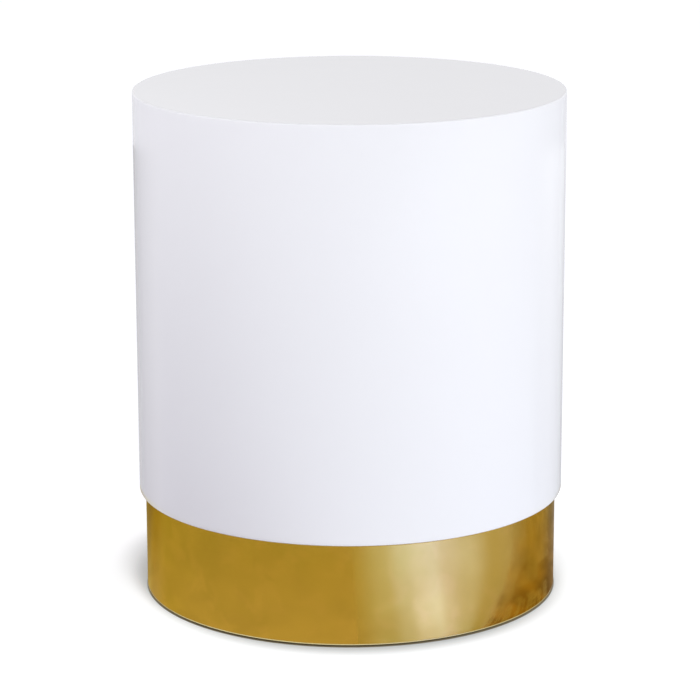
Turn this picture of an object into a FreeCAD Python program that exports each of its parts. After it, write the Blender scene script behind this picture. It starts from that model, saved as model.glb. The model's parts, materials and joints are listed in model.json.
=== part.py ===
import FreeCAD, Part
import os
from math import radians, cos, sin, sqrt

# Drum side table: a hollow lacquered drum, bolted onto a round plinth with a metal sleeve, on four
# levelling glides. Millimetres. +Z up, origin on the floor under the drum's axis, front at -Y.

# Overall
table_height = 482.0        # floor to table top
drum_diameter = 406.0       # across the lacquered drum
plinth_diameter = 394.0     # across the metal sleeve
plinth_height = 98.0        # floor to the drum's underside
floor_gap = 2.0             # floor to the sleeve's lower edge

# Drum boards
top_thickness = 18.0
bottom_thickness = 18.0
skin_thickness = 8.0
edge_radius = 1.5           # lacquered outer edges of the two panels
rib_thickness = 15.0
rib_width = 60.0            # ring width of a rib
stile_count = 8
stile_width = 20.0
stile_depth = 32.0
lap_depth = 20.0            # how deep a stile lies in a rib's notch

# Plinth boards
sleeve_thickness = 1.0
seam_gap = 0.4              # butt seam of the sleeve, at the back
wall_thickness = 6.0
wall_lift = 1.0             # wall's lower edge above the sleeve's
ring_thickness = 15.0
ring_width = 78.0
base_thickness = 15.0
post_size = 32.0

# Clearances
glue_slip = 0.2             # radial, between nested round pieces
lap_slip = 0.1              # each side of a halving joint
screw_slip = 0.1            # radial, round a wood screw, an insert or a nut's barrel
thread_slip = 0.05          # radial, between a thread and its nut, both drawn as plain cylinders
swivel_slip = 0.05          # round a stem's foot in its pad

# Wood screws
screw_radius = 2.0
screw_head_radius = 4.0
screw_head_height = 2.4
screw_tip = 3.0
head_sink = 0.3             # head below the board's face
drive_width = 1.0
drive_depth = 1.6
drive_span = 4.4
panel_bite = 12.0           # depth of a screw in a panel or a rib
post_bite = 20.0            # depth of a screw in a post
screw_stagger = 6.0         # ring screws outward and base screws inward of a post's middle

# Bolts and inserts between the plinth and the drum
bolt_count = 4
bolt_inset = 45.0           # sleeve's face to a bolt's axis
bolt_radius = 3.0
bolt_head_radius = 7.0
bolt_head_height = 4.0
bolt_head_chamfer = 0.8
bolt_engagement = 10.0      # length of bolt inside its insert
bolt_socket = 4.0           # across the flats of the hexagon socket
bolt_socket_depth = 2.5
bolt_hole_slip = 0.3
insert_radius = 4.5
insert_length = 13.0
insert_hole_spare = 1.0     # blind hole past the insert's end

# Levelling glides
glide_count = 4
glide_inset = 45.0          # sleeve's face to a glide's axis
glide_travel = 12.0
pad_radius = 16.0
pad_height = 6.0
pad_shoulder = 3.0          # chamfer of the pad's upper edge
pad_chamfer = 1.0
socket_floor = 2.0          # pad material under the stem's foot
foot_radius = 4.75
foot_height = 1.5
stem_radius = 4.0
stem_chamfer = 0.8
hex_flats = 13.0
hex_height = 5.0
hex_lift = 0.5              # pad's top to the hexagon
hex_stop = 0.5              # hexagon to the base board, wound right in
nut_flange_radius = 12.0
nut_flange_height = 1.5
nut_barrel_radius = 5.5
nut_setback = 2.0           # barrel's end short of the board's underside
thread_spare = 0.5          # stem above the nut when it is wound right out

# Heights that follow
drum_low = plinth_height
skin_low = drum_low + bottom_thickness
skin_high = table_height - top_thickness
middle_rib_low = (skin_low + skin_high - rib_thickness) / 2
rib_lows = [skin_low, middle_rib_low, skin_high - rib_thickness]
base_low = pad_height + hex_lift + hex_height + hex_stop
base_high = base_low + base_thickness
ring_low = plinth_height - ring_thickness

# Radii that follow
drum_radius = drum_diameter / 2
skin_inner = drum_radius - skin_thickness
frame_radius = skin_inner - glue_slip
rib_inner = frame_radius - rib_width
lap_radius = frame_radius - lap_depth
sleeve_radius = plinth_diameter / 2
sleeve_inner = sleeve_radius - sleeve_thickness
wall_radius = sleeve_inner - glue_slip
wall_inner = wall_radius - wall_thickness
board_radius = wall_inner - glue_slip
post_middle = board_radius - post_size / 2
rib_screw_radius = frame_radius - rib_width / 2
ring_screw_radius = post_middle + screw_stagger
base_screw_radius = post_middle - screw_stagger
bolt_ring = sleeve_radius - bolt_inset
glide_ring = sleeve_radius - glide_inset

spare = 5.0                 # how far a cutting tool runs past the face that it cuts
axis = FreeCAD.Vector(0, 0, 1)
centre = FreeCAD.Vector(0, 0, 0)
stile_angles = [360.0 * k / stile_count for k in range(stile_count)]
between_angles = [a + 180.0 / stile_count for a in stile_angles]
bolt_angles = [360.0 * k / bolt_count for k in range(bolt_count)]
glide_angles = [a + 180.0 / glide_count for a in bolt_angles[:glide_count]]


def point(radius, angle, height=0.0):
    return FreeCAD.Vector(radius * cos(radians(angle)), radius * sin(radians(angle)), height)


def disc(radius, low, high):
    return Part.makeCylinder(radius, high - low, FreeCAD.Vector(0, 0, low))


def tube(outer, inner, low, high):
    return disc(outer, low, high).cut(disc(inner, low, high))


def turned(profile):
    """A solid of revolution about Z from (radius, height) corners."""
    corners = [FreeCAD.Vector(r, 0, z) for r, z in profile]
    outline = Part.makePolygon(corners + corners[:1])
    return Part.Face(outline).revolve(centre, axis, 360)


def hexagon(flats, low, high):
    corners = [point(flats / sqrt(3), 60.0 * k, low) for k in range(6)]
    outline = Part.makePolygon(corners + corners[:1])
    return Part.Face(outline).extrude(FreeCAD.Vector(0, 0, high - low))


def turned_to(shape, angle):
    """A copy of a piece that was made at azimuth 0, swung round the table's axis."""
    copy = shape.copy()
    copy.rotate(centre, axis, angle)
    return copy


def moved_to(shape, radius, angle, height=0.0):
    copy = shape.copy()
    copy.translate(point(radius, angle, height))
    return copy


def rim_edges(shape, radius, height):
    return [e for e in shape.Edges if isinstance(e.Curve, Part.Circle)
            and abs(e.Curve.Radius - radius) < 0.01 and abs(e.BoundBox.ZMin - height) < 0.01
            and abs(e.BoundBox.ZMax - height) < 0.01]


def cut_all(shape, tools):
    return shape.cut(Part.makeCompound(tools))


def wood_screw(length):
    """A countersunk screw with a cross recess, head face at 0 and point at +length."""
    body = turned([(0, 0), (screw_head_radius, 0), (screw_radius, screw_head_height),
                   (screw_radius, length - screw_tip), (0, length)])
    slots = []
    for dx, dy in ((drive_span, drive_width), (drive_width, drive_span)):
        corner = FreeCAD.Vector(-dx / 2, -dy / 2, -spare)
        slots.append(Part.makeBox(dx, dy, spare + drive_depth, corner))
    return cut_all(body, slots)


def screw_hole(length):
    """The flat-bottomed hole of such a screw, its countersink run out through the board's face."""
    shank, head = screw_radius + screw_slip, screw_head_radius + screw_slip
    return turned([(0, -head_sink - spare), (head, -head_sink - spare), (head, 0),
                   (shank, screw_head_height + screw_slip), (shank, length + screw_slip),
                   (0, length + screw_slip)])


def pointing_down(shape):
    copy = shape.copy()
    copy.rotate(centre, FreeCAD.Vector(1, 0, 0), 180)
    return copy


def screws_up(make, length, radius, face):
    """One screw, or its hole, per post or rib bay, driven up from the face at this height."""
    return [moved_to(make(length), radius, a, face + head_sink) for a in between_angles]


def screws_down(make, length, radius, face):
    return [moved_to(pointing_down(make(length)), radius, a, face - head_sink) for a in between_angles]


top_screw_length = rib_thickness + panel_bite - head_sink
bottom_screw_length = bottom_thickness + panel_bite - head_sink
ring_screw_length = ring_thickness + post_bite - head_sink
base_screw_length = base_thickness + post_bite - head_sink


def top_screw_set(make):
    return screws_up(make, top_screw_length, rib_screw_radius, skin_high - rib_thickness)


def bottom_screw_set(make):
    return screws_up(make, bottom_screw_length, rib_screw_radius, drum_low)


def ring_screw_set(make):
    return screws_down(make, ring_screw_length, ring_screw_radius, plinth_height)


def base_screw_set(make):
    return screws_up(make, base_screw_length, base_screw_radius, base_low)


# Drum

def top_panel():
    panel = disc(drum_radius, skin_high, table_height)
    panel = panel.makeFillet(edge_radius, rim_edges(panel, drum_radius, table_height))
    return cut_all(panel, top_screw_set(screw_hole))


def drum_skin():
    return tube(drum_radius, skin_inner, skin_low, skin_high)


def bottom_panel():
    panel = disc(drum_radius, drum_low, skin_low)
    panel = panel.makeFillet(edge_radius, rim_edges(panel, drum_radius, drum_low))
    blind = disc(insert_radius + screw_slip, drum_low - spare, drum_low + insert_length + insert_hole_spare)
    holes = [moved_to(blind, bolt_ring, a) for a in bolt_angles]
    return cut_all(panel, holes + bottom_screw_set(screw_hole))


def rib(low):
    """A board ring with an open notch for each stile in its outer edge."""
    ring = tube(frame_radius, rib_inner, low, low + rib_thickness)
    width = stile_width + 2 * lap_slip
    corner = FreeCAD.Vector(lap_radius, -width / 2, low - spare)
    notch = Part.makeBox(lap_depth + spare, width, rib_thickness + 2 * spare, corner)
    return cut_all(ring, [turned_to(notch, a) for a in stile_angles])


def stile():
    """An upright batten, notched from inside over each rib, its outer face rounded to the skin."""
    length = skin_high - skin_low
    corner = FreeCAD.Vector(frame_radius - stile_depth, -stile_width / 2, skin_low)
    batten = Part.makeBox(stile_depth + spare, stile_width, length, corner)
    batten = batten.common(disc(frame_radius, skin_low, skin_high))
    height = rib_thickness + 2 * lap_slip
    laps = []
    for low in rib_lows:
        corner = FreeCAD.Vector(frame_radius - stile_depth - spare, -stile_width / 2 - spare, low - lap_slip)
        laps.append(Part.makeBox(stile_depth - lap_depth + spare, stile_width + 2 * spare, height, corner))
    return cut_all(batten, laps)


def threaded_insert():
    return tube(insert_radius, bolt_radius + thread_slip, drum_low, drum_low + insert_length)


# Plinth

def brass_sleeve():
    sleeve = tube(sleeve_radius, sleeve_inner, floor_gap, plinth_height)
    corner = FreeCAD.Vector(-seam_gap / 2, sleeve_inner - spare, floor_gap - spare)
    seam = Part.makeBox(seam_gap, sleeve_thickness + 2 * spare, plinth_height - floor_gap + 2 * spare, corner)
    return sleeve.cut(seam)


def plinth_wall():
    return tube(wall_radius, wall_inner, floor_gap + wall_lift, plinth_height)


def plinth_ring():
    ring = tube(board_radius, board_radius - ring_width, ring_low, plinth_height)
    hole = disc(bolt_radius + bolt_hole_slip, ring_low - spare, plinth_height + spare)
    holes = [moved_to(hole, bolt_ring, a) for a in bolt_angles]
    return cut_all(ring, holes + ring_screw_set(screw_hole))


def plinth_post(angle):
    """A block between the base board and the plinth ring, its outer face rounded to the wall."""
    corner = FreeCAD.Vector(board_radius - post_size, -post_size / 2, base_high)
    block = Part.makeBox(post_size + spare, post_size, ring_low - base_high, corner)
    block = turned_to(block.common(disc(board_radius, base_high, ring_low)), angle)
    return cut_all(block, ring_screw_set(screw_hole) + base_screw_set(screw_hole))


def base_board():
    board = disc(board_radius, base_low, base_high)
    hole = disc(nut_barrel_radius + screw_slip, base_low - spare, base_high + spare)
    holes = [moved_to(hole, glide_ring, a) for a in glide_angles]
    return cut_all(board, holes + base_screw_set(screw_hole))


def plinth_bolt():
    """A flat-headed furniture bolt with a hexagon socket, head under the plinth ring."""
    low = ring_low - bolt_head_height
    high = plinth_height + bolt_engagement
    body = turned([(0, low), (bolt_head_radius - bolt_head_chamfer, low),
                   (bolt_head_radius, low + bolt_head_chamfer), (bolt_head_radius, ring_low),
                   (bolt_radius, ring_low), (bolt_radius, high - bolt_head_chamfer),
                   (bolt_radius - bolt_head_chamfer, high), (0, high)])
    return body.cut(hexagon(bolt_socket, low - spare, low + bolt_socket_depth))


# Levelling glides

def glide_nut():
    """A flanged barrel nut, pressed down into the base board from inside the plinth."""
    bore = stem_radius + thread_slip
    return turned([(bore, base_low + nut_setback), (nut_barrel_radius, base_low + nut_setback),
                   (nut_barrel_radius, base_high), (nut_flange_radius, base_high),
                   (nut_flange_radius, base_high + nut_flange_height), (bore, base_high + nut_flange_height)])


def leveller_stem():
    """A threaded stem with a hexagon for the spanner and a collar that snaps into the pad."""
    low = socket_floor + swivel_slip
    high = base_high + nut_flange_height + glide_travel + thread_spare
    hex_low = pad_height + hex_lift
    stem = turned([(0, low), (foot_radius, low), (foot_radius, low + foot_height),
                   (stem_radius, low + foot_height), (stem_radius, high - stem_chamfer),
                   (stem_radius - stem_chamfer, high), (0, high)])
    return stem.fuse(hexagon(hex_flats, hex_low, hex_low + hex_height)).removeSplitter()


def leveller_pad():
    """A round nylon pad with an undercut socket for the stem's foot."""
    socket = foot_radius + swivel_slip
    neck = stem_radius + swivel_slip
    ledge = socket_floor + foot_height + 2 * swivel_slip
    return turned([(neck, pad_height), (neck, ledge), (socket, ledge), (socket, socket_floor),
                   (0, socket_floor), (0, 0), (pad_radius - pad_chamfer, 0), (pad_radius, pad_chamfer),
                   (pad_radius, pad_height - pad_shoulder), (pad_radius - pad_shoulder, pad_height)])


def copies(shape, radius, angles):
    return Part.makeCompound([moved_to(shape, radius, a) for a in angles])


nodes = {
    "top_panel": top_panel(),
    "drum_skin": drum_skin(),
    "bottom_panel": bottom_panel(),
    "lower_rib": cut_all(rib(rib_lows[0]), bottom_screw_set(screw_hole)),
    "middle_rib": rib(rib_lows[1]),
    "upper_rib": cut_all(rib(rib_lows[2]), top_screw_set(screw_hole)),
    "top_screws": Part.makeCompound(top_screw_set(wood_screw)),
    "bottom_screws": Part.makeCompound(bottom_screw_set(wood_screw)),
    "threaded_inserts": copies(threaded_insert(), bolt_ring, bolt_angles),
    "brass_sleeve": brass_sleeve(),
    "plinth_wall": plinth_wall(),
    "plinth_ring": plinth_ring(),
    "base_board": base_board(),
    "ring_screws": Part.makeCompound(ring_screw_set(wood_screw)),
    "base_screws": Part.makeCompound(base_screw_set(wood_screw)),
    "plinth_bolts": copies(plinth_bolt(), bolt_ring, bolt_angles),
    "glide_nuts": copies(glide_nut(), glide_ring, glide_angles),
}
for number, angle in enumerate(stile_angles, 1):
    nodes[f"stile_{number}"] = turned_to(stile(), angle)
for number, angle in enumerate(between_angles, 1):
    nodes[f"plinth_post_{number}"] = plinth_post(angle)
for number, angle in enumerate(glide_angles, 1):
    nodes[f"leveller_stem_{number}"] = moved_to(leveller_stem(), glide_ring, angle)
    nodes[f"leveller_pad_{number}"] = moved_to(leveller_pad(), glide_ring, angle)

os.makedirs("parts", exist_ok=True)
for name, shape in nodes.items():
    shape.exportStep(f"parts/{name}.step")
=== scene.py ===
import json
import math

import bmesh
import bpy
from mathutils import Matrix, Vector


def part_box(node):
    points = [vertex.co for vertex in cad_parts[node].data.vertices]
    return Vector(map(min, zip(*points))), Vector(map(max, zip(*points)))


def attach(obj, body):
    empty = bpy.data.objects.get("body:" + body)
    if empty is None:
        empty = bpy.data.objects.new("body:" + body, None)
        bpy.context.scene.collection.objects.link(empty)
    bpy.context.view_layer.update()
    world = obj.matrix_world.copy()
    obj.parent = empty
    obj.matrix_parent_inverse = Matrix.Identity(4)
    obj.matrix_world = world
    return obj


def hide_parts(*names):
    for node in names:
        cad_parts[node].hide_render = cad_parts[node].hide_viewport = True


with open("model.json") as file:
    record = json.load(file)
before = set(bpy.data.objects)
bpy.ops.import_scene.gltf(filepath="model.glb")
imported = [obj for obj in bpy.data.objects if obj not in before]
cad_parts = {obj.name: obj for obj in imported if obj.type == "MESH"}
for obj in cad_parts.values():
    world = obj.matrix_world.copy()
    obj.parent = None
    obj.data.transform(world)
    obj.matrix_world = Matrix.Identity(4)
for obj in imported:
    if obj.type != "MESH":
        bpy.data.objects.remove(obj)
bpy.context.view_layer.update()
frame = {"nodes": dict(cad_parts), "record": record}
print("frame loaded:", len(frame["nodes"]), "nodes")


# helpers for shader and geometry node trees

def addNode(tree, kind, links=None, values=None, **settings):
    node = tree.nodes.new(kind)
    for key, value in settings.items():
        setattr(node, key, value)
    for key, value in (values or {}).items():
        node.inputs[key].default_value = value
    for key, source in (links or {}).items():
        tree.links.new(source, node.inputs[key])
    return node


def calc(tree, operation, *parts):
    node = tree.nodes.new("ShaderNodeMath")
    node.operation = operation
    for k, part in enumerate(parts):
        if isinstance(part, (int, float)):
            node.inputs[k].default_value = part
        else:
            tree.links.new(part, node.inputs[k])
    return node.outputs[0]


def vectorCalc(tree, operation, first, second=None, scale=None):
    node = addNode(tree, "ShaderNodeVectorMath", {0: first}, operation=operation)
    if second is not None:
        node.inputs[1].default_value = second
    if scale is not None:
        tree.links.new(scale, node.inputs["Scale"])
    return node.outputs["Value" if operation in ("LENGTH", "DISTANCE") else "Vector"]


def addObject(name, data):
    thing = bpy.data.objects.new(name, data)
    bpy.context.scene.collection.objects.link(thing)
    return thing


def addSockets(tree, side, kinds):
    for label, kind in kinds.items():
        tree.interface.new_socket(label, in_out=side, socket_type="NodeSocket" + kind)


def startGeometry(name, inputs):
    # inputs says by each label what kind of socket it has
    tree = bpy.data.node_groups.new(name, "GeometryNodeTree")
    tree.is_modifier = True
    addSockets(tree, "INPUT", {"Geometry": "Geometry"} | inputs)
    addSockets(tree, "OUTPUT", {"Geometry": "Geometry"})
    return tree, tree.nodes.new("NodeGroupInput").outputs


def endGeometry(tree, shape, material, sharpAbove=30):
    # crisp edges above the angle, then instances made real and the material set
    angle = addNode(tree, "GeometryNodeInputMeshEdgeAngle").outputs["Unsigned Angle"]
    crisp = calc(tree, "GREATER_THAN", angle, math.radians(sharpAbove))
    smooth = addNode(tree, "GeometryNodeSetShadeSmooth", {"Geometry": shape}, {"Shade Smooth": True})
    edges = addNode(tree, "GeometryNodeSetShadeSmooth", {"Geometry": smooth.outputs[0], "Selection": crisp},
                    {"Shade Smooth": False}, domain="EDGE")
    real = addNode(tree, "GeometryNodeRealizeInstances", {"Geometry": edges.outputs[0]})
    painted = addNode(tree, "GeometryNodeSetMaterial", {"Geometry": real.outputs[0], "Material": material})
    addNode(tree, "NodeGroupOutput", {"Geometry": painted.outputs[0]})
    return tree


def growPiece(name, tree, values, outline=None):
    # runs a geometry tree once and keeps its result as a plain mesh
    seed = bpy.data.meshes.new(name + "Seed")
    if outline:
        points, rounds, closed = outline
        edges = [(k, k + 1) for k in range(len(points) - 1)]
        edges += [(len(points) - 1, 0)] if closed else []
        seed.from_pydata([(r, z, 0) for r, z in points], edges, [])
        seed.attributes.new("round", "FLOAT", "POINT").data.foreach_set("value", rounds)
    holder = addObject(name + "Seed", seed)
    modifier = holder.modifiers.new("grow", "NODES")
    modifier.node_group = tree
    for item in tree.interface.items_tree:
        if item.item_type == "SOCKET" and item.in_out == "INPUT" and item.name in values:
            modifier[item.identifier] = values[item.name]
    graph = bpy.context.evaluated_depsgraph_get()
    mesh = bpy.data.meshes.new_from_object(holder.evaluated_get(graph), depsgraph=graph)
    holder.modifiers.remove(modifier)
    bpy.data.objects.remove(holder)
    mesh.name = name
    if "round" in mesh.attributes:
        mesh.attributes.remove(mesh.attributes["round"])
    # the tree may leave an empty slot beside its one material
    mesh.materials.clear()
    mesh.materials.append(values["Material"])
    shell = bmesh.new()
    shell.from_mesh(mesh)
    bmesh.ops.recalc_face_normals(shell, faces=shell.faces)
    shell.to_mesh(mesh)
    shell.free()
    return addObject(name, mesh)


weldDistance = 0.000002               # points closer than this become one


def sweptOutline(tree, given, path, caps=False):
    # rounds the outline that the object carries, its X the radius and its Y the height, and sweeps it round Z
    outline = addNode(tree, "GeometryNodeMeshToCurve", {"Mesh": given["Geometry"]})
    rounding = addNode(tree, "GeometryNodeInputNamedAttribute", None, {"Name": "round"}, data_type="FLOAT")
    rounded = addNode(tree, "GeometryNodeFilletCurve",
                      {"Curve": outline.outputs[0], "Count": given["Round Steps"],
                       "Radius": rounding.outputs[0]}, mode="POLY")
    # the path has radius 1, so the outline starts 1 further in; its flip sets its height upright on the path
    shifted = addNode(tree, "GeometryNodeTransform", {"Geometry": rounded.outputs[0]},
                      {"Translation": (-1.0, 0.0, 0.0), "Scale": (1.0, -1.0, 1.0)})
    swept = addNode(tree, "GeometryNodeCurveToMesh", {"Curve": path, "Profile Curve": shifted.outputs[0]},
                    {"Fill Caps": caps})
    return addNode(tree, "GeometryNodeMergeByDistance", {"Geometry": swept.outputs[0]},
                   {"Distance": weldDistance}).outputs[0]


def moveSideways(tree, shape, place, distance, way):
    # moves the surface straight away from the Z axis, or toward it where way is -1
    heading = vectorCalc(tree, "NORMALIZE", vectorCalc(tree, "MULTIPLY", place, (way, way, 0)))
    shift = vectorCalc(tree, "SCALE", heading, scale=distance)
    return addNode(tree, "GeometryNodeSetPosition", {"Geometry": shape, "Offset": shift}).outputs[0]


def fullCircle(tree, given):
    return addNode(tree, "GeometryNodeCurvePrimitiveCircle", {"Resolution": given["Segments"]},
                   {"Radius": 1.0}).outputs[0]


def discRadius(*nodes):
    # the largest circle that stays inside the boxes of these round nodes
    sides = []
    for node in nodes:
        low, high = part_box(node)
        sides += [-low.x, high.x, -low.y, high.y]
    return min(sides)


# effects that several finishes share

def startGroup(name, inputs, outputs):
    group = bpy.data.node_groups.new(name, "ShaderNodeTree")
    addSockets(group, "INPUT", inputs)
    addSockets(group, "OUTPUT", outputs)
    return group, group.nodes.new("NodeGroupInput").outputs


def blendColours(tree, factor, first, second):
    # this node has sockets of one name for each kind of value, so those for colours go by number
    node = addNode(tree, "ShaderNodeMix", data_type="RGBA")
    for key, part in ((0, factor), (6, first), (7, second)):
        if isinstance(part, (int, float, tuple)):
            node.inputs[key].default_value = part
        else:
            tree.links.new(part, node.inputs[key])
    return node.outputs[2]


def ramp(tree, value, low, high, toLow=0.0, toHigh=1.0):
    node = addNode(tree, "ShaderNodeMapRange", {"Value": value},
                   {"From Min": low, "From Max": high, "To Min": toLow, "To Max": toHigh},
                   interpolation_type="SMOOTHSTEP")
    return node.outputs["Result"]


def noise(tree, place, scale, detail, distortion=0.0):
    node = addNode(tree, "ShaderNodeTexNoise", {"Vector": place},
                   {"Scale": scale, "Detail": detail, "Distortion": distortion})
    return node.outputs[0]


cloudLook = {"detail": 3.0, "roughness": 0.55, "distortion": 0.4, "fineTimes": 9.0, "fineDetail": 2.0,
             "slowShare": 0.8, "fineShare": 0.2, "noiseLow": 0.35, "noiseHigh": 0.65}


def cloudyGroup():
    # slow patches of more and less polish, with finer flecks in them
    group, given = startGroup(
        "cloudyPolish", {"Vector": "Vector", "Scale": "Float", "Low": "Float", "High": "Float"},
        {"Value": "Float"})
    slow = addNode(group, "ShaderNodeTexNoise", {"Vector": given["Vector"], "Scale": given["Scale"]},
                   {"Detail": cloudLook["detail"], "Roughness": cloudLook["roughness"],
                    "Distortion": cloudLook["distortion"]})
    finer = calc(group, "MULTIPLY", given["Scale"], cloudLook["fineTimes"])
    fine = addNode(group, "ShaderNodeTexNoise", {"Vector": given["Vector"], "Scale": finer},
                   {"Detail": cloudLook["fineDetail"]})
    both = calc(group, "ADD", calc(group, "MULTIPLY", slow.outputs[0], cloudLook["slowShare"]),
                calc(group, "MULTIPLY", fine.outputs[0], cloudLook["fineShare"]))
    spread = addNode(group, "ShaderNodeMapRange",
                     {"Value": both, "To Min": given["Low"], "To Max": given["High"]},
                     {"From Min": cloudLook["noiseLow"], "From Max": cloudLook["noiseHigh"]})
    addNode(group, "NodeGroupOutput", {"Value": spread.outputs["Result"]})
    return group


fibreLook = {"feltScale": 420.0, "feltDetail": 6.0, "feltRoughness": 0.7, "feltLow": 0.42, "feltHigh": 0.68,
             "fleckScale": 900.0, "fleckFar": 0.28, "fleckNear": 0.12, "fleckDepth": 0.45, "feltHeight": 0.8,
             "bumpStrength": 0.3, "bumpDepth": 0.0002}


def fibreGroup():
    # pressed wood fibre: pale felt with darker flecks
    group, given = startGroup(
        "pressedFibre", {"Vector": "Vector", "Light Color": "Color", "Dark Color": "Color"},
        {"Color": "Color", "Height": "Float"})
    felt = addNode(group, "ShaderNodeTexNoise", {"Vector": given["Vector"]},
                   {"Scale": fibreLook["feltScale"], "Detail": fibreLook["feltDetail"],
                    "Roughness": fibreLook["feltRoughness"]})
    fleck = addNode(group, "ShaderNodeTexVoronoi", {"Vector": given["Vector"]},
                    {"Scale": fibreLook["fleckScale"]})
    close = ramp(group, fleck.outputs["Distance"], fibreLook["fleckFar"], fibreLook["fleckNear"])
    spots = calc(group, "MULTIPLY", close, fibreLook["fleckDepth"])
    felted = ramp(group, felt.outputs[0], fibreLook["feltLow"], fibreLook["feltHigh"])
    shade = calc(group, "MAXIMUM", felted, spots)
    addNode(group, "NodeGroupOutput",
            {"Color": blendColours(group, shade, given["Light Color"], given["Dark Color"]),
             "Height": calc(group, "MULTIPLY", felt.outputs[0], fibreLook["feltHeight"])})
    return group


grainLook = {"stretch": (1.0, 1.0, 0.06), "ringBend": 5.0, "ringDetail": 3.0, "ringDetailScale": 1.2,
             "poreScale": 900.0, "poreDetail": 4.0, "ringShare": 0.7, "poreShare": 0.35}


def grainGroup():
    # long wood grain up the Z axis, its rings bent by a slow noise
    group, given = startGroup(
        "longGrain",
        {"Vector": "Vector", "Ring Scale": "Float", "Light Color": "Color", "Dark Color": "Color"},
        {"Color": "Color", "Height": "Float"})
    along = addNode(group, "ShaderNodeMapping", {"Vector": given["Vector"]}, {"Scale": grainLook["stretch"]})
    rings = addNode(group, "ShaderNodeTexWave", {"Vector": along.outputs[0], "Scale": given["Ring Scale"]},
                    {"Distortion": grainLook["ringBend"], "Detail": grainLook["ringDetail"],
                     "Detail Scale": grainLook["ringDetailScale"]}, bands_direction="X")
    pores = noise(group, along.outputs[0], grainLook["poreScale"], grainLook["poreDetail"])
    shade = calc(group, "ADD", calc(group, "MULTIPLY", rings.outputs["Fac"], grainLook["ringShare"]),
                 calc(group, "MULTIPLY", pores, grainLook["poreShare"]))
    addNode(group, "NodeGroupOutput",
            {"Color": blendColours(group, shade, given["Light Color"], given["Dark Color"]), "Height": shade})
    return group


cloudyPolish, pressedFibre, longGrain = cloudyGroup(), fibreGroup(), grainGroup()


def startMaterial(name, **sockets):
    material = bpy.data.materials.new(name)
    material.use_nodes = True
    tree = material.node_tree
    shader = tree.nodes["Principled BSDF"]
    for label, value in sockets.items():
        shader.inputs[label.replace("_", " ")].default_value = value
    place = addNode(tree, "ShaderNodeTexCoord").outputs["Object"]
    return material, tree, shader.inputs, place


def placeGroup(tree, group, links, values=None):
    node = tree.nodes.new("ShaderNodeGroup")
    node.node_tree = group
    for key, value in (values or {}).items():
        node.inputs[key].default_value = value
    for key, source in links.items():
        tree.links.new(source, node.inputs[key])
    return node.outputs


def addBump(tree, inputs, height, strength, distance):
    bump = addNode(tree, "ShaderNodeBump", {"Height": height}, {"Strength": strength, "Distance": distance})
    tree.links.new(bump.outputs[0], inputs["Normal"])


def addSheen(tree, inputs, place, scale, low, high):
    # the polish drifts between two roughnesses
    polish = placeGroup(tree, cloudyPolish, {"Vector": place}, {"Scale": scale, "Low": low, "High": high})
    tree.links.new(polish["Value"], inputs["Roughness"])


def shaded(color, share):
    # the same colour, a little darker
    return tuple(c * share for c in color[:3]) + (1.0,)


lacquer = {"color": (0.83, 0.83, 0.845, 1.0), "ior": 1.5, "toneScale": 7.0, "toneDetail": 2.0,
           "toneShare": 0.985, "sheenScale": 14.0, "lowSheen": 0.06, "highSheen": 0.10,
           "peelScale": 260.0, "peelDetail": 1.0, "peelStrength": 0.15, "peelDepth": 0.00002}


def whiteLacquer():
    material, tree, inputs, place = startMaterial("whiteLacquer", IOR=lacquer["ior"])
    tone = noise(tree, place, lacquer["toneScale"], lacquer["toneDetail"])
    faint = shaded(lacquer["color"], lacquer["toneShare"])
    tree.links.new(blendColours(tree, tone, lacquer["color"], faint), inputs["Base Color"])
    addSheen(tree, inputs, place, lacquer["sheenScale"], lacquer["lowSheen"], lacquer["highSheen"])
    peel = noise(tree, place, lacquer["peelScale"], lacquer["peelDetail"])
    addBump(tree, inputs, peel, lacquer["peelStrength"], lacquer["peelDepth"])
    return material


gold = {"color": (0.40, 0.238, 0.026, 1.0), "oliveColor": (0.385, 0.232, 0.0240, 1.0),
        "tanColor": (0.418, 0.245, 0.0288, 1.0), "edgeTint": (0.78, 0.68, 0.5, 1.0), "oliveScale": 24.0,
        "oliveDetail": 2.0, "tanScale": 40.8, "tanDetail": 3.0, "tanDistortion": 0.6, "patchLow": 0.48,
        "patchHigh": 0.66, "sheenScale": 22.0, "lowSheen": 0.12, "highSheen": 0.20,
        # a painted highlight along the sheet's lower edge: its colour, and how high it reaches
        "edgeHighlightColor": (0.78, 0.67, 0.36, 1.0), "edgeHighlightHeight": 0.0013}


def polishedGold():
    material, tree, inputs, place = startMaterial(
        "polishedGold", Metallic=1.0, Specular_Tint=gold["edgeTint"])
    olive = noise(tree, place, gold["oliveScale"], gold["oliveDetail"])
    tan = noise(tree, place, gold["tanScale"], gold["tanDetail"], gold["tanDistortion"])
    greenish, tanned = (ramp(tree, patches, gold["patchLow"], gold["patchHigh"]) for patches in (olive, tan))
    greener = blendColours(tree, greenish, gold["color"], gold["oliveColor"])
    mottled = blendColours(tree, tanned, greener, gold["tanColor"])
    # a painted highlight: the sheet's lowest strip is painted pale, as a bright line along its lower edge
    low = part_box("brass_sleeve")[0].z
    height = addNode(tree, "ShaderNodeSeparateXYZ", {0: place}).outputs["Z"]
    edgeHighlight = ramp(tree, height, low + gold["edgeHighlightHeight"], low + gold["edgeHighlightHeight"] / 2)
    tree.links.new(blendColours(tree, edgeHighlight, mottled, gold["edgeHighlightColor"]), inputs["Base Color"])
    addSheen(tree, inputs, place, gold["sheenScale"], gold["lowSheen"], gold["highSheen"])
    return material


def fibreBoard(name, light, dark, roughness):
    material, tree, inputs, place = startMaterial(name, Roughness=roughness)
    fibre = placeGroup(tree, pressedFibre, {"Vector": place}, {"Light Color": light, "Dark Color": dark})
    tree.links.new(fibre["Color"], inputs["Base Color"])
    addBump(tree, inputs, fibre["Height"], fibreLook["bumpStrength"], fibreLook["bumpDepth"])
    return material


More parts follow.
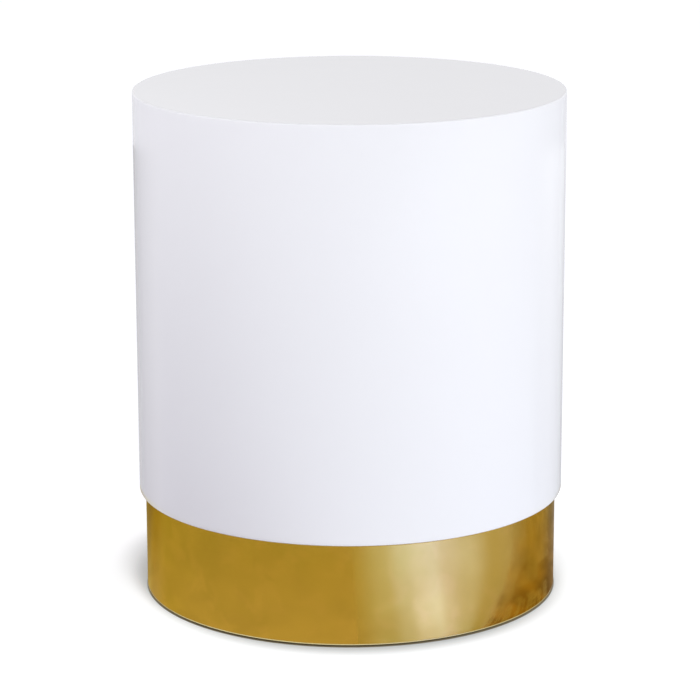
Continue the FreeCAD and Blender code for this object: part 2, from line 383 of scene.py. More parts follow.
batten = {"light": (0.62, 0.43, 0.22, 1), "dark": (0.36, 0.20, 0.08, 1), "ringScale": 70.0, "roughness": 0.7,
          "bumpStrength": 0.25, "bumpDepth": 0.0003}


def battenWood():
    material, tree, inputs, place = startMaterial("battenWood", Roughness=batten["roughness"])
    wood = placeGroup(tree, longGrain, {"Vector": place},
                      {"Ring Scale": batten["ringScale"], "Light Color": batten["light"],
                       "Dark Color": batten["dark"]})
    tree.links.new(wood["Color"], inputs["Base Color"])
    addBump(tree, inputs, wood["Height"], batten["bumpStrength"], batten["bumpDepth"])
    return material


dullLook = {"share": 0.82, "scaleTimes": 3, "detail": 3.0, "low": 0.4, "high": 0.7}


def metalFinish(name, color, lowSheen, highSheen, scale):
    # plain metal with duller patches
    material, tree, inputs, place = startMaterial(name, Metallic=1.0)
    addSheen(tree, inputs, place, scale, lowSheen, highSheen)
    patches = noise(tree, place, scale * dullLook["scaleTimes"], dullLook["detail"])
    dull = ramp(tree, patches, dullLook["low"], dullLook["high"])
    tree.links.new(blendColours(tree, dull, color, shaded(color, dullLook["share"])), inputs["Base Color"])
    return material


nylon = {"dark": (0.010, 0.010, 0.011, 1), "light": (0.022, 0.022, 0.024, 1), "speckScale": 500.0,
         "speckDetail": 3.0, "roughness": 0.45, "bumpStrength": 0.2, "bumpDepth": 0.0001}


def padNylon():
    material, tree, inputs, place = startMaterial("padNylon", Roughness=nylon["roughness"])
    speck = noise(tree, place, nylon["speckScale"], nylon["speckDetail"])
    tree.links.new(blendColours(tree, speck, nylon["dark"], nylon["light"]), inputs["Base Color"])
    addBump(tree, inputs, speck, nylon["bumpStrength"], nylon["bumpDepth"])
    return material


boards = {
    "rawBoard": {"light": (0.47, 0.33, 0.19, 1), "dark": (0.27, 0.17, 0.09, 1), "roughness": 0.85},
    "sealedBoard": {"light": (0.020, 0.018, 0.017, 1), "dark": (0.008, 0.007, 0.007, 1), "roughness": 0.5},
    "rawPly": {"light": (0.56, 0.40, 0.22, 1), "dark": (0.34, 0.21, 0.10, 1), "roughness": 0.8},
}
metals = {
    "screwZinc": {"color": (0.60, 0.55, 0.42, 1), "lowSheen": 0.28, "highSheen": 0.42, "scale": 300.0},
    "hardwareZinc": {"color": (0.62, 0.63, 0.65, 1), "lowSheen": 0.25, "highSheen": 0.4, "scale": 260.0},
    "boltBlack": {"color": (0.03, 0.03, 0.03, 1), "lowSheen": 0.35, "highSheen": 0.5, "scale": 300.0},
    "insertBrass": {"color": (0.58, 0.42, 0.16, 1), "lowSheen": 0.25, "highSheen": 0.4, "scale": 300.0},
}
finishes = {"lacquer": whiteLacquer(), "gold": polishedGold(), "batten": battenWood(), "nylon": padNylon()}
finishes |= {name: fibreBoard(name, **board) for name, board in boards.items()}
finishes |= {name: metalFinish(name, **metal) for name, metal in metals.items()}
slotFinish = {
    "lacquered_board": "lacquer", "lacquered_ply": "lacquer", "raw_board": "rawBoard",
    "sealed_board": "sealedBoard", "raw_ply": "rawPly", "batten_wood": "batten", "brushed_gold": "gold",
    "zinc_screw": "screwZinc", "zinc_hardware": "hardwareZinc", "black_bolt": "boltBlack",
    "insert_brass": "insertBrass", "pad_nylon": "nylon",
}
# every node of the frame wears its slot's finish, also where no piece below replaces it
for part in frame["record"]["subparts"]:
    node = frame["nodes"][part["node"]]
    for holder in node.material_slots:
        holder.material = finishes[slotFinish[part["material_slot"]]]
print("finishes made:", len(finishes))


def turnedTree():
    tree, given = startGeometry("turnedPiece", {
        "Segments": "Int", "Round Steps": "Int", "Centre": "Vector", "Material": "Material"})
    swept = sweptOutline(tree, given, fullCircle(tree, given))
    moved = addNode(tree, "GeometryNodeTransform", {"Geometry": swept, "Translation": given["Centre"]})
    return endGeometry(tree, moved.outputs[0], given["Material"])


turned = turnedTree()


def turnPiece(name, corners, finish, closed=False, segments=384, centre=(0, 0, 0), roundSteps=8):
    # corners are (radius, height, rounding); an open outline starts and ends on the axis
    outline = ([(r, z) for r, z, soft in corners], [soft for r, z, soft in corners], closed)
    values = {"Segments": segments, "Round Steps": roundSteps, "Centre": centre, "Material": finishes[finish]}
    return growPiece(name, turned, values, outline)


drum = {"edgeRadius": 0.0015, "skinWall": 0.008}


def drumPieces():
    radius = discRadius("top_panel", "drum_skin", "bottom_panel")
    soft = drum["edgeRadius"]
    near = 3 * soft                       # keeps the flat faces flat in the shading
    low, high = (corner.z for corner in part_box("top_panel"))
    top = turnPiece("topPanel", [(0, low, 0), (radius, low, 0), (radius, high - near, 0),
                                 (radius, high, soft), (radius - near, high, 0), (0, high, 0)], "lacquer")
    low, high = (corner.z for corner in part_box("bottom_panel"))
    bottom = turnPiece("bottomPanel", [(0, low, 0), (radius - near, low, 0), (radius, low, soft),
                                       (radius, low + near, 0), (radius, high, 0), (0, high, 0)], "lacquer")
    low, high = (corner.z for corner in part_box("drum_skin"))
    inner = radius - drum["skinWall"]
    skin = turnPiece("drumSkin", [(radius, low, 0), (radius, high, 0), (inner, high, 0), (inner, low, 0)],
                     "lacquer", closed=True)
    for piece, node, slot in ((top, "top_panel", "lacquered_board"),
                              (bottom, "bottom_panel", "lacquered_board"),
                              (skin, "drum_skin", "lacquered_ply")):
        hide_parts(node)
        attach(piece, "table")


drumPieces()
print("drum made")


sleeve = {"wall": 0.001, "edge": 0.0003, "seam": 0.0004, "rings": 32, "segments": 720, "roundSteps": 3,
          "slowWave": 22.0, "slowDepth": 0.00022, "slowDetail": 1.0,
          "quickWave": 70.0, "quickDepth": 0.00004, "quickDetail": 0.0}


def sleeveTree():
    # bends the sheet's section round the plinth, open at the back, and lets it ripple
    tree, given = startGeometry("sheetSleeve", {
        "Segments": "Int", "Round Steps": "Int", "Seam Angle": "Float", "Slow Wave": "Float",
        "Slow Depth": "Float", "Quick Wave": "Float", "Quick Depth": "Float", "Material": "Material"})
    start = calc(tree, "ADD", calc(tree, "MULTIPLY", given["Seam Angle"], 0.5), math.pi / 2)
    sweep = calc(tree, "SUBTRACT", 2 * math.pi, given["Seam Angle"])
    arc = addNode(tree, "GeometryNodeCurveArc",
                  {"Resolution": given["Segments"], "Start Angle": start, "Sweep Angle": sweep},
                  {"Radius": 1.0})
    swept = sweptOutline(tree, given, arc.outputs[0], caps=True)
    place = addNode(tree, "GeometryNodeInputPosition").outputs[0]
    slow = addNode(tree, "ShaderNodeTexNoise", {"Vector": place, "Scale": given["Slow Wave"]},
                   {"Detail": sleeve["slowDetail"]})
    quick = addNode(tree, "ShaderNodeTexNoise", {"Vector": place, "Scale": given["Quick Wave"]},
                    {"Detail": sleeve["quickDetail"]})
    ripple = calc(tree, "ADD",
                  calc(tree, "MULTIPLY", calc(tree, "SUBTRACT", slow.outputs[0], 0.5), given["Slow Depth"]),
                  calc(tree, "MULTIPLY", calc(tree, "SUBTRACT", quick.outputs[0], 0.5), given["Quick Depth"]))
    return endGeometry(tree, moveSideways(tree, swept, place, ripple, 1), given["Material"])


def metalSleeve():
    radius = discRadius("brass_sleeve")
    low, high = (corner.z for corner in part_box("brass_sleeve"))
    inner = radius - sleeve["wall"]
    step = (high - low) / sleeve["rings"]
    heights = [low + step * k for k in range(sleeve["rings"] + 1)]
    corners = [(radius, z) for z in heights] + [(inner, z) for z in reversed(heights)]
    rounds = [0.0] * len(corners)
    rounds[0] = rounds[sleeve["rings"]] = sleeve["edge"]
    values = {"Segments": sleeve["segments"], "Round Steps": sleeve["roundSteps"],
              "Seam Angle": sleeve["seam"] / radius,
              "Slow Wave": sleeve["slowWave"], "Slow Depth": sleeve["slowDepth"],
              "Quick Wave": sleeve["quickWave"], "Quick Depth": sleeve["quickDepth"],
              "Material": finishes["gold"]}
    piece = growPiece("metalSleeve", sleeveTree(), values, (corners, rounds, True))
    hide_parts("brass_sleeve")
    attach(piece, "table")


metalSleeve()
print("sleeve made")


def boolean(tree, operation, first, second):
    node = addNode(tree, "GeometryNodeMeshBoolean", operation=operation, solver="EXACT")
    if operation == "DIFFERENCE":
        tree.links.new(first, node.inputs["Mesh 1"])
        tree.links.new(second, node.inputs["Mesh 2"])
    else:
        for source in (first, second):
            tree.links.new(source, node.inputs["Mesh 2"])
    return node.outputs["Mesh"]


def cutThread(tree, shape, given):
    # draws the surface in along a right-handed helix, between two heights
    place = addNode(tree, "GeometryNodeInputPosition").outputs[0]
    apart = addNode(tree, "ShaderNodeSeparateXYZ", {0: place}).outputs
    turn = calc(tree, "MULTIPLY", calc(tree, "ARCTAN2", apart["Y"], apart["X"]), 0.5 / math.pi)
    climbed = calc(tree, "DIVIDE", apart["Z"], given["Pitch"])
    phase = calc(tree, "FRACT", calc(tree, "SUBTRACT", climbed, turn))
    groove = calc(tree, "ABSOLUTE", calc(tree, "MULTIPLY_ADD", phase, 2.0, -1.0))
    low = calc(tree, "DIVIDE", calc(tree, "SUBTRACT", apart["Z"], given["Thread Low"]), given["Pitch"])
    high = calc(tree, "DIVIDE", calc(tree, "SUBTRACT", given["Thread High"], apart["Z"]), given["Pitch"])
    inside = calc(tree, "MINIMUM", calc(tree, "MAXIMUM", calc(tree, "MINIMUM", low, high), 0.0), 1.0)
    depth = calc(tree, "MULTIPLY", calc(tree, "MULTIPLY", groove, inside), given["Thread Depth"])
    return moveSideways(tree, shape, place, depth, -1)


threadInputs = {"Segments": "Int", "Round Steps": "Int", "Pitch": "Float", "Thread Depth": "Float",
                "Thread Low": "Float", "Thread High": "Float", "Material": "Material"}


def threadedOutline(before, radius, low, high, step, after):
    # the corners of a turned piece, with even rings between two heights for the thread
    count = math.ceil((high - low) / step)
    rings = [(radius, low + (high - low) * k / count, 0.0) for k in range(count + 1)]
    corners = before + rings + after
    return [(r, z) for r, z, soft in corners], [soft for r, z, soft in corners], False


screw = {"headRadius": 0.004, "headHeight": 0.0024, "shankRadius": 0.002, "tip": 0.003, "headEdge": 0.00015,
         "crossSpan": 0.0044, "crossWidth": 0.001, "crossDepth": 0.0016, "plainShank": 0.003, "pitch": 0.0018,
         "threadDepth": 0.0005, "ringsPerTurn": 6, "segments": 28, "roundSteps": 2, "count": 8,
         "firstAngle": 22.5, "seed": 7}


def screwTree():
    # one countersunk screw with a cross recess, head face at 0, then a ring of them, each turned at random
    tree, given = startGeometry("woodScrews", threadInputs | {
        "Cross Span": "Float", "Cross Width": "Float", "Cross Depth": "Float", "Count": "Int",
        "Ring Radius": "Float", "Ring Height": "Float", "First Angle": "Float", "Flip": "Float",
        "Seed": "Int"})
    body = cutThread(tree, sweptOutline(tree, given, fullCircle(tree, given)), given)
    deep = calc(tree, "MULTIPLY", given["Cross Depth"], 2.0)
    bars = []
    for across, along in (("Cross Span", "Cross Width"), ("Cross Width", "Cross Span")):
        size = addNode(tree, "ShaderNodeCombineXYZ", {"X": given[across], "Y": given[along], "Z": deep})
        bars.append(addNode(tree, "GeometryNodeMeshCube", {"Size": size.outputs[0]}).outputs["Mesh"])
    cross = boolean(tree, "UNION", bars[0], bars[1])
    single = boolean(tree, "DIFFERENCE", body, cross)
    ring = addNode(tree, "GeometryNodeMeshCircle",
                   {"Vertices": given["Count"], "Radius": given["Ring Radius"]})
    height = addNode(tree, "ShaderNodeCombineXYZ", {"Z": given["Ring Height"]}).outputs[0]
    start = addNode(tree, "ShaderNodeCombineXYZ", {"Z": given["First Angle"]}).outputs[0]
    placed = addNode(tree, "GeometryNodeTransform",
                     {"Geometry": ring.outputs[0], "Translation": height, "Rotation": start})
    chance = addNode(tree, "FunctionNodeRandomValue", {"Seed": given["Seed"]}, {"Max": 2 * math.pi})
    spin = addNode(tree, "ShaderNodeCombineXYZ", {"X": given["Flip"], "Z": chance.outputs[1]}).outputs[0]
    spread = addNode(tree, "GeometryNodeInstanceOnPoints",
                     {"Points": placed.outputs[0], "Instance": single, "Rotation": spin})
    return endGeometry(tree, spread.outputs[0], given["Material"])


def woodScrews(node, tree, headUp):
    low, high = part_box(node)
    length = high.z - low.z
    first = math.radians(screw["firstAngle"])
    # the screw at the first angle stands furthest along X, and its head reaches the box
    ring = (high.x - screw["headRadius"]) / math.cos(first)
    plain = screw["headHeight"] + screw["plainShank"]
    shank = screw["shankRadius"]
    outline = threadedOutline(
        [(0, 0, 0), (screw["headRadius"], 0, screw["headEdge"]), (shank, screw["headHeight"], 0)],
        shank, plain, length - screw["tip"], screw["pitch"] / screw["ringsPerTurn"], [(0, length, 0)])
    values = {"Segments": screw["segments"], "Round Steps": screw["roundSteps"], "Pitch": screw["pitch"],
              "Thread Depth": screw["threadDepth"], "Thread Low": plain,
              "Thread High": length - screw["tip"] / 2, "Material": finishes["screwZinc"],
              "Cross Span": screw["crossSpan"], "Cross Width": screw["crossWidth"],
              "Cross Depth": screw["crossDepth"], "Count": screw["count"], "Ring Radius": ring,
              "Ring Height": high.z if headUp else low.z, "First Angle": first,
              "Flip": math.pi if headUp else 0.0, "Seed": screw["seed"]}
    words = node.split("_")
    piece = growPiece(words[0] + words[1].capitalize(), tree, values, outline)
    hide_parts(node)
    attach(piece, "table")


screwForm = screwTree()
for node in ("top_screws", "bottom_screws", "ring_screws", "base_screws"):
    woodScrews(node, screwForm, headUp=(node == "ring_screws"))
print("screws made")


glide = {"stemRadius": 0.00398, "tipChamfer": 0.0008, "footRadius": 0.00475, "footHeight": 0.0015,
         "footEdge": 0.0002, "hexFlats": 0.013, "hexLift": 0.00445, "hexHeight": 0.005, "hexRounding": 1.01,
         "hexBelly": 0.00544, "pitch": 0.00125, "threadDepth": 0.00062, "ringsPerTurn": 6, "segments": 40,
         "roundSteps": 2,
         "socketFloor": 0.002, "ledge": 0.0036, "socketRadius": 0.0048, "neckRadius": 0.00405,
         "padChamfer": 0.001, "padShoulder": 0.003, "dishRadius": 0.0085, "dishDepth": 0.0003,
         "padSoft": 0.0004, "shoulderSoft": 0.0009, "bellySegments": 72, "bellyRings": 48, "padSegments": 96,
         "padRoundSteps": 4, "count": 4}


def stemTree():
    # a threaded rod on a foot, with a hexagon whose corners are eased by an ellipsoid
    tree, given = startGeometry("glideStem", threadInputs | {
        "Hex Radius": "Float", "Hex Height": "Float", "Hex Middle": "Float", "Belly": "Vector",
        "Centre": "Vector"})
    rod = cutThread(tree, sweptOutline(tree, given, fullCircle(tree, given)), given)
    prism = addNode(tree, "GeometryNodeMeshCylinder",
                    {"Radius": given["Hex Radius"], "Depth": given["Hex Height"]}, {"Vertices": 6})
    ball = addNode(tree, "GeometryNodeMeshUVSphere", None,
                   {"Segments": glide["bellySegments"], "Rings": glide["bellyRings"], "Radius": 1.0})
    belly = addNode(tree, "GeometryNodeTransform", {"Geometry": ball.outputs[0], "Scale": given["Belly"]})
    eased = boolean(tree, "INTERSECT", prism.outputs["Mesh"], belly.outputs[0])
    middle = addNode(tree, "ShaderNodeCombineXYZ", {"Z": given["Hex Middle"]}).outputs[0]
    lifted = addNode(tree, "GeometryNodeTransform", {"Geometry": eased, "Translation": middle})
    both = addNode(tree, "GeometryNodeJoinGeometry")
    tree.links.new(rod, both.inputs[0])
    tree.links.new(lifted.outputs[0], both.inputs[0])
    moved = addNode(tree, "GeometryNodeTransform",
                    {"Geometry": both.outputs[0], "Translation": given["Centre"]})
    return endGeometry(tree, moved.outputs[0], given["Material"])


def glideStem(number, tree):
    node = f"leveller_stem_{number}"
    low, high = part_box(node)
    middle = (low + high) / 2
    length = high.z - low.z
    hexLow, hexHigh = glide["hexLift"], glide["hexLift"] + glide["hexHeight"]
    corner = glide["hexFlats"] / math.sqrt(3)
    top = length - glide["tipChamfer"]
    foot, rod, edge = glide["footRadius"], glide["stemRadius"], glide["footEdge"]
    outline = threadedOutline(
        [(0, 0, 0), (foot, 0, edge), (foot, glide["footHeight"], edge), (rod, glide["footHeight"], 0)],
        rod, hexHigh, top, glide["pitch"] / glide["ringsPerTurn"],
        [(rod - glide["tipChamfer"], length, 0), (0, length, 0)])
    belly = corner * glide["hexRounding"]
    values = {"Segments": glide["segments"], "Round Steps": glide["roundSteps"], "Pitch": glide["pitch"],
              "Thread Depth": glide["threadDepth"], "Thread Low": hexHigh, "Thread High": length,
              "Material": finishes["hardwareZinc"],
              "Hex Radius": corner, "Hex Height": glide["hexHeight"], "Hex Middle": (hexLow + hexHigh) / 2,
              "Belly": (belly, belly, glide["hexBelly"]), "Centre": (middle.x, middle.y, low.z)}
    piece = growPiece(f"glideStem{number}", tree, values, outline)
    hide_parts(node)
    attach(piece, f"stem_{number}")


def glidePad(number):
    # a moulded pad: dished underside, softened shoulder, undercut socket for the stem's foot
    node = f"leveller_pad_{number}"
    low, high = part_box(node)
    middle = (low + high) / 2
    radius, top = (high.x - low.x) / 2, high.z
    soft, ease = glide["padSoft"], glide["shoulderSoft"]
    corners = [(0, glide["dishDepth"], 0), (glide["dishRadius"], glide["dishDepth"], 0),
               (glide["dishRadius"] + glide["dishDepth"], 0, 0), (radius - glide["padChamfer"], 0, soft),
               (radius, glide["padChamfer"], soft), (radius, top - glide["padShoulder"], ease),
               (radius - glide["padShoulder"], top, ease), (glide["neckRadius"], top, soft / 2),
               (glide["neckRadius"], glide["ledge"], 0), (glide["socketRadius"], glide["ledge"], 0),
               (glide["socketRadius"], glide["socketFloor"], 0), (0, glide["socketFloor"], 0)]
    piece = turnPiece(f"glidePad{number}", corners, "nylon", segments=glide["padSegments"],
                      centre=(middle.x, middle.y, 0), roundSteps=glide["padRoundSteps"])
    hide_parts(node)
    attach(piece, f"pad_{number}")


stemForm = stemTree()
for number in range(1, glide["count"] + 1):
    glideStem(number, stemForm)
    glidePad(number)
print("glides made")


camera = {"place": (0.0, -2.7319, 0.9203), "lens": 151.69, "sensor": 36.0, "down": 14.196, "roll": -0.135}


def placeCamera():
    data = bpy.data.cameras.new("camera")
    data.lens = camera["lens"]
    data.sensor_width = camera["sensor"]
    eye = addObject("camera", data)
    tilt = Matrix.Rotation(math.radians(90 - camera["down"]), 4, "X")
    roll = Matrix.Rotation(math.radians(camera["roll"]), 4, "Z")
    eye.matrix_world = Matrix.Translation(camera["place"]) @ tilt @ roll
    bpy.context.scene.camera = eye


# the floor far out; the floor near the plinth, painted a cooler colour that tints its shade; painted shade
# under the plinth and as a dark line at its foot; and the sky
stageLook = {"floorSize": 14.0, "floorColor": (0.735, 0.75, 0.77, 1.0), "floorSeen": 0.55, "floorGloss": 0.32,
             "nearShadeColor": (0.72, 0.775, 0.805, 1.0), "nearShadeFade": 0.07,
             "footShadeColor": (0.33, 0.285, 0.19, 1.0), "footReach": -0.0003, "footShadeFade": 0.0016,
             "skyTop": 0.358, "skyRim": 1.24, "skyGloss": 0.90, "skyColor": (1.0, 0.99, 1.037, 1.0)}


# soft round shades on the floor, drawn in the part of its glow that the camera sees: close round the plinth,
# and away from the key light. Each is full up to its start, fades out by its end, and takes away the share of
# the glow that its depth says
shades = [
    {"centre": (0.003, -0.006, 0.0), "stretch": (1.06, 1.0, 1.0), "start": 0.188, "end": 0.222, "depth": 1.0},
    {"centre": (-0.010, 0.024, 0.0), "stretch": (1.0, 1.0, 1.0), "start": 0.184, "end": 0.209, "depth": 0.75},
    {"centre": (-0.030, 0.066, 0.0), "stretch": (1.0, 1.0, 1.0), "start": 0.165, "end": 0.210, "depth": 0.75},
    {"centre": (0.012, 0.045, 0.0), "stretch": (1.0, 1.0, 1.0), "start": 0.180, "end": 0.208, "depth": 0.35},
]


def seenDirectly(tree, byCamera, byGloss):
    # how much of a background the camera sees, and how much a gloss or a clear material does
    path = addNode(tree, "ShaderNodeLightPath").outputs
    mirrored = calc(tree, "MAXIMUM", path["Is Glossy Ray"], path["Is Transmission Ray"])
    return calc(tree, "MAXIMUM", calc(tree, "MULTIPLY", path["Is Camera Ray"], byCamera),
                calc(tree, "MULTIPLY", mirrored, byGloss))


def emptyMaterial(name):
    material = bpy.data.materials.new(name)
    material.use_nodes = True
    material.node_tree.nodes.clear()
    return material, material.node_tree


def endOneSided(tree, top):
    # the surface is clear from below
    back = addNode(tree, "ShaderNodeNewGeometry").outputs["Backfacing"]
    clear = addNode(tree, "ShaderNodeBsdfTransparent").outputs[0]
    both = addNode(tree, "ShaderNodeMixShader", {0: back, 1: top, 2: clear})
    addNode(tree, "ShaderNodeOutputMaterial", {"Surface": both.outputs[0]})


def plainFloor():
    size = stageLook["floorSize"]
    mesh = bpy.data.meshes.new("floor")
    corners = [(-size, -size, 0), (size, -size, 0), (size, size, 0), (-size, size, 0)]
    mesh.from_pydata(corners, [], [(0, 1, 2, 3)])
    material, tree = emptyMaterial("floorWhite")
    place = addNode(tree, "ShaderNodeTexCoord").outputs["Object"]
    distance = vectorCalc(tree, "LENGTH", place)
    foot = discRadius("brass_sleeve") + stageLook["footReach"]
    # painted shade tint: close to the plinth the floor is painted a cooler colour, which tints the shade that
    # falls there
    pastNearShade = ramp(tree, distance, foot, foot + stageLook["nearShadeFade"])
    plain = blendColours(tree, pastNearShade, stageLook["nearShadeColor"], stageLook["floorColor"])
    # painted shade: under the plinth and in a thin ring round its foot the floor is painted dark and its glow
    # is cut off
    clearOfFootShade = ramp(tree, distance, foot, foot + stageLook["footShadeFade"])
    matte = addNode(tree, "ShaderNodeBsdfDiffuse",
                    {"Color": blendColours(tree, clearOfFootShade, stageLook["footShadeColor"], plain)})
    unshaded = calc(tree, "MULTIPLY", clearOfFootShade, stageLook["floorSeen"])
    for shade in shades:
        across = vectorCalc(tree, "MULTIPLY", place, shade["stretch"])
        away = vectorCalc(tree, "DISTANCE", across, shade["centre"])
        kept = ramp(tree, away, shade["start"], shade["end"], 1.0 - shade["depth"])
        unshaded = calc(tree, "MULTIPLY", kept, unshaded)
    glow = addNode(tree, "ShaderNodeEmission",
                   {"Strength": seenDirectly(tree, unshaded, stageLook["floorGloss"])})
    top = addNode(tree, "ShaderNodeAddShader", {0: matte.outputs[0], 1: glow.outputs[0]})
    endOneSided(tree, top.outputs[0])
    mesh.materials.append(material)
    addObject("floor", mesh)


def plainSky():
    # white where it is seen; as a light it is softer overhead than round the rim
    world = bpy.data.worlds.new("sky")
    world.use_nodes = True
    bpy.context.scene.world = world
    tree = world.node_tree
    tree.nodes.clear()
    sky = addNode(tree, "ShaderNodeTexCoord").outputs["Generated"]
    toward = addNode(tree, "ShaderNodeSeparateXYZ", {0: sky})
    level = ramp(tree, toward.outputs["Z"], 0.0, 1.0, stageLook["skyRim"], stageLook["skyTop"])
    lit = addNode(tree, "ShaderNodeBackground", {"Strength": level}, {"Color": stageLook["skyColor"]})
    seen = addNode(tree, "ShaderNodeBackground", None, {"Color": (1, 1, 1, 1), "Strength": 1.0})
    share = seenDirectly(tree, 1.0, stageLook["skyGloss"])
    both = addNode(tree, "ShaderNodeMixShader", {0: share, 1: lit.outputs[0], 2: seen.outputs[0]})
    addNode(tree, "ShaderNodeOutputWorld", {"Surface": both.outputs[0]})


# cards lie on the floor round the table, and the camera sees none of them. A "swap" card shows in gloss in
# place of the floor, a "boost" card adds its light to the floor that the metal sleeve alone mirrors, and a
# "bounce" card only sends back soft light. A card hangs on lines that start at the plinth and run outward.
# Each has its angle there, its angle at the far end, 0 at the front, the bow between the two, and its tone,
# which nearTint changes toward the plinth. With fan 2 the lines stand upright in an upright wall's mirror.
# Reach is how far out the lines start, and how far they end at the front and at the sides. Clouds mottle the
# tone: their scale, their least and greatest brightness, and which of the noise's patterns they show.
cards = {
    "warmCard": {
        "kind": "swap", "fan": 2, "reach": (0.004, 0.305, 0.33), "nearTint": (1.19, 1.17, 1.7),
        "clouds": (18.0, 0.95, 1.05, 2.0), "lines": [
            (-96, -96, 0, (0.46, 0.37, 0.10)), (-86, -77, 0, (0.46, 0.37, 0.10)),
            (-78, -69, 0, (0.76, 0.68, 0.17)), (-67, -62, 0, (0.90, 0.91, 0.61)),
            (-40, -40, 0, (0.88, 0.87, 0.60)), (-6, -7.5, 0, (0.92, 0.90, 0.64)),
            (2, 0.5, 0, (0.95, 0.92, 0.70))]},
    "paleCard": {
        "kind": "boost", "fan": 2, "reach": (0.004, 0.40, 0.40), "nearTint": (0.75, 0.64, 0.48),
        "clouds": (18.0, 0.82, 1.13, 6.2), "lines": [
            (2, 0, 0, (0.14, 0.16, 0.35)), (11, 7.5, 0, (0.37, 0.75, 3.9)), (16.5, 13, 0, (0.70, 1.44, 10.3)),
            (20.5, 17.5, 0, (1.06, 2.00, 16.6)), (25, 21, 0, (1.13, 2.22, 19.0)),
            (28.5, 25, 0, (0.82, 1.50, 12.6)), (32.5, 30, 3, (0.55, 1.05, 7.4)),
            (35.5, 37, 7, (0.21, 0.36, 1.9)), (38, 46, 9, (0.22, 0.38, 2.5)), (42, 51, 9, (0.13, 0.17, 1.0)),
            (48, 57, 7, (0.08, 0.07, 0.2)), (60, 66, 4, (0.08, 0.06, 0.1)), (72, 74, 1, (0.0, 0.0, 0.0))]},
    "darkCard": {
        "kind": "swap", "fan": 2, "reach": (0.004, 0.305, 0.33), "nearTint": (0.85, 0.67, 0.46),
        "clouds": (20.0, 0.68, 1.13, 6.2), "lines": [
            (38, 48.5, 6.5, (0.96, 0.94, 1.1)), (41, 51.5, 6.5, (0.88, 0.81, 0.67)),
            (52, 59.5, 2, (0.80, 0.69, 0.35)), (66, 67.5, 0, (0.76, 0.70, 0.50)),
            (74, 74, 0, (0.56, 0.53, 0.42)), (90, 90, 0, (0.44, 0.40, 0.32))]},
    "backCard": {
        "kind": "swap", "fan": 2, "reach": (0.33, 2.4, 2.4), "nearTint": (1.4, 1.4, 1.4), "clouds": None,
        "lines": [
            (-90, -90, 0, (0.44, 0.44, 0.45)), (-82, -82, 0, (0.45, 0.45, 0.46)),
            (-75, -75, 0, (0.42, 0.42, 0.43)), (-69, -69, 0, (0.50, 0.50, 0.51)),
            (-61, -61, 0, (0.72, 0.72, 0.73))]},
    "sideCard": {
        "kind": "swap", "fan": 2, "reach": (0.33, 2.4, 2.4), "nearTint": (0.65, 0.65, 0.65), "clouds": None,
        "lines": [
            (58, 58, 0, (1.0, 1.0, 1.02)), (66, 66, 0, (1.20, 1.20, 1.23)), (76, 76, 0, (1.0, 1.01, 1.04)),
            (90, 90, 0, (0.55, 0.56, 0.59))]},
    "leftFlag": {
        "kind": "bounce", "fan": 1, "reach": (0.004, 0.42, 0.42), "nearTint": (1, 1, 1), "clouds": None,
        "lines": [
            (-115, -115, 0, (0.215, 0.17, 0.26)), (-12, -12, 0, (0.215, 0.18, 0.25))]},
    "coolCard": {
        "kind": "bounce", "fan": 1, "reach": (0.004, 0.42, 0.42), "nearTint": (1, 1, 1), "clouds": None,
        "lines": [
            (-8, -8, 0, (0.70, 0.71, 0.78)), (75, 75, 0, (0.68, 0.74, 0.90))]},
}
cardGrid = {"columns": 6, "rows": 8, "lift": 0.001}
cardClouds = {"detail": 4.0, "distortion": 0.7, "turnShare": 0.22, "noiseLow": 0.35, "noiseHigh": 0.65}


def mixed(first, second, share):
    return first + (second - first) * share


def cardPoint(card, radius, out, near, far, bow):
    angle = math.radians(mixed(near, far, out) + bow * 4 * out * (1 - out))
    start, front, side = card["reach"]
    reach = mixed(start, mixed(front, side, math.sin(angle) ** 2), out)
    heading = card["fan"] * angle
    return (radius * math.sin(angle) + reach * math.sin(heading),
            -radius * math.cos(angle) - reach * math.cos(heading), cardGrid["lift"])


def floorCard(name, card, mirror):
    radius = discRadius("brass_sleeve")
    lines, columns, rows = card["lines"], cardGrid["columns"], cardGrid["rows"]
    points, tones = [], []
    for i in range((len(lines) - 1) * columns + 1):
        k = min(i // columns, len(lines) - 2)
        share = i / columns - k
        soft = share * share * (3 - 2 * share)
        near, far, bow = (mixed(lines[k][n], lines[k + 1][n], share) for n in range(3))
        tone = [mixed(lines[k][3][n], lines[k + 1][3][n], soft) for n in range(3)]
        for j in range(rows + 1):
            out = j / rows
            points.append(cardPoint(card, radius, out, near, far, bow))
            tones += [tone[n] * mixed(card["nearTint"][n], 1, out) for n in range(3)] + [1.0]
    faces = []
    for i in range((len(lines) - 1) * columns):
        for j in range(rows):
            corner = i * (rows + 1) + j
            faces.append((corner, corner + 1, corner + rows + 2, corner + rows + 1))
    mesh = bpy.data.meshes.new(name)
    mesh.from_pydata(points, [], faces)
    mesh.attributes.new("tone", "FLOAT_COLOR", "POINT").data.foreach_set("color", tones)
    mesh.materials.append(cardGlow(name, card))
    plane = addObject(name, mesh)
    plane.visible_camera = plane.visible_shadow = plane.visible_transmission = False
    plane.visible_glossy = card["kind"] != "bounce"
    plane.visible_diffuse = card["kind"] == "bounce"
    if card["kind"] == "boost":
        plane.light_linking.receiver_collection = mirror


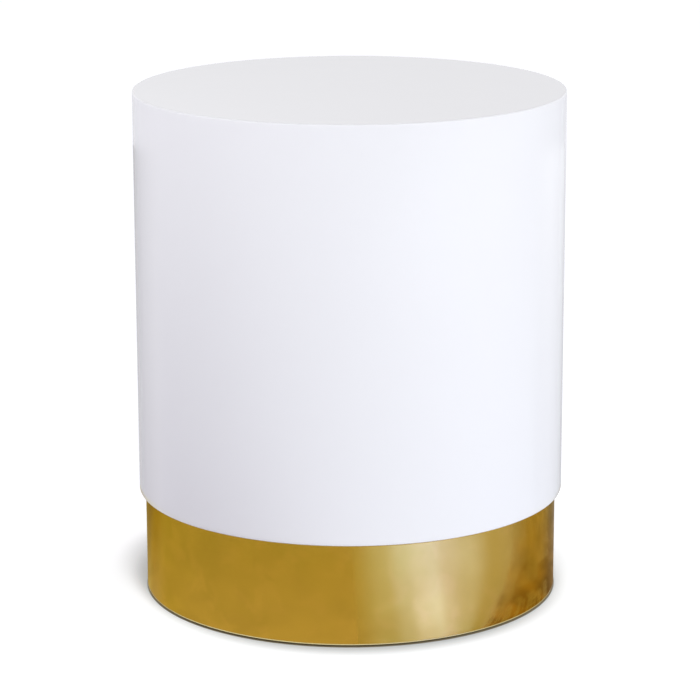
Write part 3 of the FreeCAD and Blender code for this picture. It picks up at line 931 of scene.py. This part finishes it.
def cardGlow(name, card):
    # glows in the tones that its mesh carries, with clouds in them; a boost card is clear from above too
    material, tree = emptyMaterial(name)
    tone = addNode(tree, "ShaderNodeAttribute", attribute_name="tone").outputs["Color"]
    if card["clouds"]:
        scale, low, high, pattern = card["clouds"]
        place = addNode(tree, "ShaderNodeTexCoord").outputs["Object"]
        apart = addNode(tree, "ShaderNodeSeparateXYZ", {0: place}).outputs
        turn = calc(tree, "MULTIPLY", calc(tree, "ARCTAN2", apart["Y"], apart["X"]), cardClouds["turnShare"])
        away = vectorCalc(tree, "LENGTH", place)
        drawn = addNode(tree, "ShaderNodeCombineXYZ", {"X": away, "Y": turn}).outputs[0]
        cloud = addNode(tree, "ShaderNodeTexNoise", {"Vector": drawn},
                        {"W": pattern, "Scale": scale, "Detail": cardClouds["detail"],
                         "Distortion": cardClouds["distortion"]}, noise_dimensions="4D")
        level = ramp(tree, cloud.outputs[0], cardClouds["noiseLow"], cardClouds["noiseHigh"], low, high)
        tone = vectorCalc(tree, "SCALE", tone, scale=level)
    top = addNode(tree, "ShaderNodeEmission", {"Color": tone}).outputs[0]
    if card["kind"] == "boost":
        clear = addNode(tree, "ShaderNodeBsdfTransparent").outputs[0]
        top = addNode(tree, "ShaderNodeAddShader", {0: top, 1: clear}).outputs[0]
    endOneSided(tree, top)
    return material


lampAim = (0, 0, 0.4)
lamps = {
    "key": {"azimuth": 40, "height": 20, "distance": 2.6, "size": 1.4, "power": 25.4,
            "color": (0.955, 0.985, 1.0)},
    "fill": {"azimuth": -62, "height": 24, "distance": 0.9, "size": 0.4, "power": 1.62,
             "color": (1.0, 0.98, 1.0)},
}


def placeLamps():
    middle = Vector(lampAim)
    for name, lamp in lamps.items():
        data = bpy.data.lights.new(name, "AREA")
        data.shape = "DISK"
        data.size = lamp["size"]
        data.energy = lamp["power"]
        data.color = lamp["color"]
        light = addObject(name, data)
        turn, up = math.radians(lamp["azimuth"]), math.radians(lamp["height"])
        back = Vector((math.sin(turn) * math.cos(up), -math.cos(turn) * math.cos(up), math.sin(up)))
        light.location = middle + back * lamp["distance"]
        light.rotation_euler = back.to_track_quat("Z", "Y").to_euler()
        light.visible_camera = False
        light.visible_glossy = False


placeCamera()
plainFloor()
plainSky()
mirrorOnly = bpy.data.collections.new("mirrorOnly")
mirrorOnly.objects.link(bpy.data.objects["metalSleeve"])
for cardName, cardShape in cards.items():
    floorCard(cardName, cardShape, mirrorOnly)
placeLamps()
bpy.context.scene.view_settings.view_transform = "Standard"
print("camera, floor and light placed")
